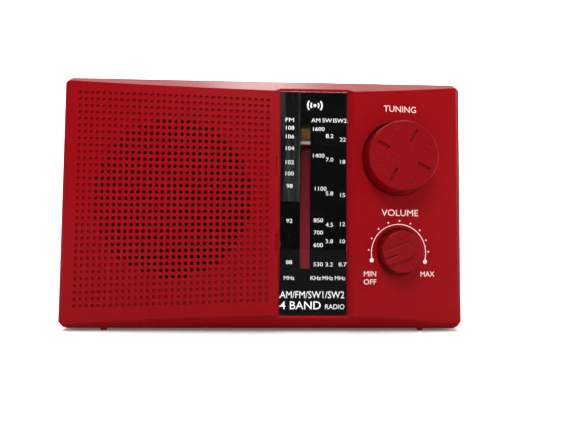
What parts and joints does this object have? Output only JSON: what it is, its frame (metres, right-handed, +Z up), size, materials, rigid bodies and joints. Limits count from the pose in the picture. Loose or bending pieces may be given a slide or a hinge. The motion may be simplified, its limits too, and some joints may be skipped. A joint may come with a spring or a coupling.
{
  "type": "transistor pocket radio",
  "caption": "Portable transistor radio with a bowed red cabinet, punched grille, tall dial, tuning and volume knobs, battery bay and telescopic aerial.",
  "frame": {"origin": "middle of the overall box in plan, on the plane the feet stand on", "axes": "+Z up, +X to the right seen from the front, the front faces -Y"},
  "size_m": [0.21, 0.0689, 0.1329],
  "materials": {
    "red_plastic": "satin moulded, fine texture",
    "rubber": "matt",
    "steel": "zinc plated",
    "black_plastic": "gloss",
    "clear_lens": "clear acrylic",
    "dial_red": "satin",
    "white_plastic": "satin",
    "cord": "waxed",
    "grey_plastic": "satin",
    "aluminium": "turned",
    "paper": "black pulp",
    "dust_cap": "satin",
    "copper": "enamelled wire",
    "ferrite": "ground ceramic",
    "board": "phenolic board",
    "tin": "tinned",
    "cap_sleeve": "sleeved",
    "resistor_body": "lacquered",
    "nickel": "nickel plated",
    "lamination": "varnished steel",
    "cell_jacket": "printed jacket",
    "wire_sleeve": "PVC sleeve",
    "chrome": "polished"
  },
  "bodies": {
    "cabinet": {"front_cabinet": "red_plastic", "rear_cabinet": "red_plastic", "feet": "rubber", "case_screws": "steel", "board_screws": "steel", "speaker_screws": "steel", "dial_scale_plate": "black_plastic", "dial_lens": "clear_lens", "dial_backing_strip": "dial_red", "pointer_rail": "steel", "pulley_pins": "steel", "dial_cord": "cord", "tuning_capacitor": "grey_plastic", "volume_pot": "grey_plastic", "speaker_basket": "steel", "speaker_surround": "rubber", "speaker_cone": "paper", "speaker_dust_cap": "dust_cap", "voice_coil": "copper", "speaker_magnet": "ferrite", "speaker_yoke": "steel", "circuit_board": "board", "coil_cans": "tin", "capacitors": "cap_sleeve", "resistors": "resistor_body", "radio_chip": "black_plastic", "ferrite_rod": "ferrite", "aerial_coil": "copper", "ferrite_clips": "white_plastic", "band_switch": "tin", "earphone_jack": "black_plastic", "mains_inlet": "black_plastic", "inlet_pins": "nickel", "transformer_core": "lamination", "transformer_coil": "copper", "transformer_bracket": "steel", "battery_cells": "cell_jacket", "battery_contacts": "nickel", "battery_spring": "nickel", "hookup_wires": "wire_sleeve", "aerial_base_screw": "steel"},
    "tuning_control": {"tuning_knob": "red_plastic", "tuning_shaft": "steel", "cord_drum": "white_plastic"},
    "pointer_carriage": {"dial_pointer": "white_plastic"},
    "pulley_upper": {"cord_pulley_top": "white_plastic"},
    "pulley_lower": {"cord_pulley_bottom": "white_plastic"},
    "volume_control": {"volume_knob": "red_plastic", "volume_shaft": "aluminium"},
    "band_slider": {"band_switch_knob": "black_plastic"},
    "door": {"battery_door": "red_plastic"},
    "aerial_swivel": {"aerial_base": "chrome", "aerial_hinge_pin": "steel"},
    "aerial_stage_1": {"aerial_knuckle": "chrome", "aerial_tube_1": "chrome"},
    "aerial_stage_2": {"aerial_tube_2": "chrome"},
    "aerial_stage_3": {"aerial_tube_3": "chrome"},
    "aerial_stage_4": {"aerial_tube_4": "chrome"},
    "aerial_stage_5": {"aerial_tube_5": "chrome", "aerial_tip": "chrome"}
  },
  "joints": [
    {"name": "tuning_turn", "type": "hinge", "parent": "cabinet", "child": "tuning_control", "pos_m": [0.0695, 0, 0.0902], "axis": [0, 1, 0], "range_deg": [-158.6, 22]},
    {"name": "pointer_travel", "type": "slide", "parent": "cabinet", "child": "pointer_carriage", "axis": [0, 0, 1], "range_m": [-0.0621, 0.0087]},
    {"name": "upper_pulley_spin", "type": "hinge", "parent": "cabinet", "child": "pulley_upper", "pos_m": [0.03135, 0, 0.1175], "axis": [0, 1, 0], "range_deg": [-1100, 200]},
    {"name": "lower_pulley_spin", "type": "hinge", "parent": "cabinet", "child": "pulley_lower", "pos_m": [0.03135, 0, 0.0275], "axis": [0, 1, 0], "range_deg": [-1100, 200]},
    {"name": "volume_turn", "type": "hinge", "parent": "cabinet", "child": "volume_control", "pos_m": [0.0697, 0, 0.0422], "axis": [0, 1, 0], "range_deg": [0, 219]},
    {"name": "band_select", "type": "slide", "parent": "cabinet", "child": "band_slider", "axis": [0, 0, 1], "range_m": [0, 0.012]},
    {"name": "door_lift_off", "type": "slide", "parent": "cabinet", "child": "door", "axis": [0, 1, 0], "range_m": [0, 0.06]},
    {"name": "aerial_swivel_turn", "type": "hinge", "parent": "cabinet", "child": "aerial_swivel", "pos_m": [0.0935, 0.0303, 0.1286], "axis": [0, 0, -1], "range_deg": [0, 180]},
    {"name": "aerial_tilt", "type": "hinge", "parent": "aerial_swivel", "child": "aerial_stage_1", "pos_m": [0.0935, 0.0303, 0.1286], "axis": [0, 1, 0], "range_deg": [0, 90]},
    {"name": "aerial_pull_1", "type": "slide", "parent": "aerial_stage_1", "child": "aerial_stage_2", "axis": [-1, 0, 0], "range_m": [0, 0.13]},
    {"name": "aerial_pull_2", "type": "slide", "parent": "aerial_stage_2", "child": "aerial_stage_3", "axis": [-1, 0, 0], "range_m": [0, 0.13]},
    {"name": "aerial_pull_3", "type": "slide", "parent": "aerial_stage_3", "child": "aerial_stage_4", "axis": [-1, 0, 0], "range_m": [0, 0.13]},
    {"name": "aerial_pull_4", "type": "slide", "parent": "aerial_stage_4", "child": "aerial_stage_5", "axis": [-1, 0, 0], "range_m": [0, 0.13]}
  ],
  "couplings": [
    {"joint": "pointer_travel", "follows": "tuning_turn", "m_per_rad": 0.0224},
    {"joint": "upper_pulley_spin", "follows": "tuning_turn", "ratio": 6.6866},
    {"joint": "lower_pulley_spin", "follows": "tuning_turn", "ratio": 6.6866}
  ]
}
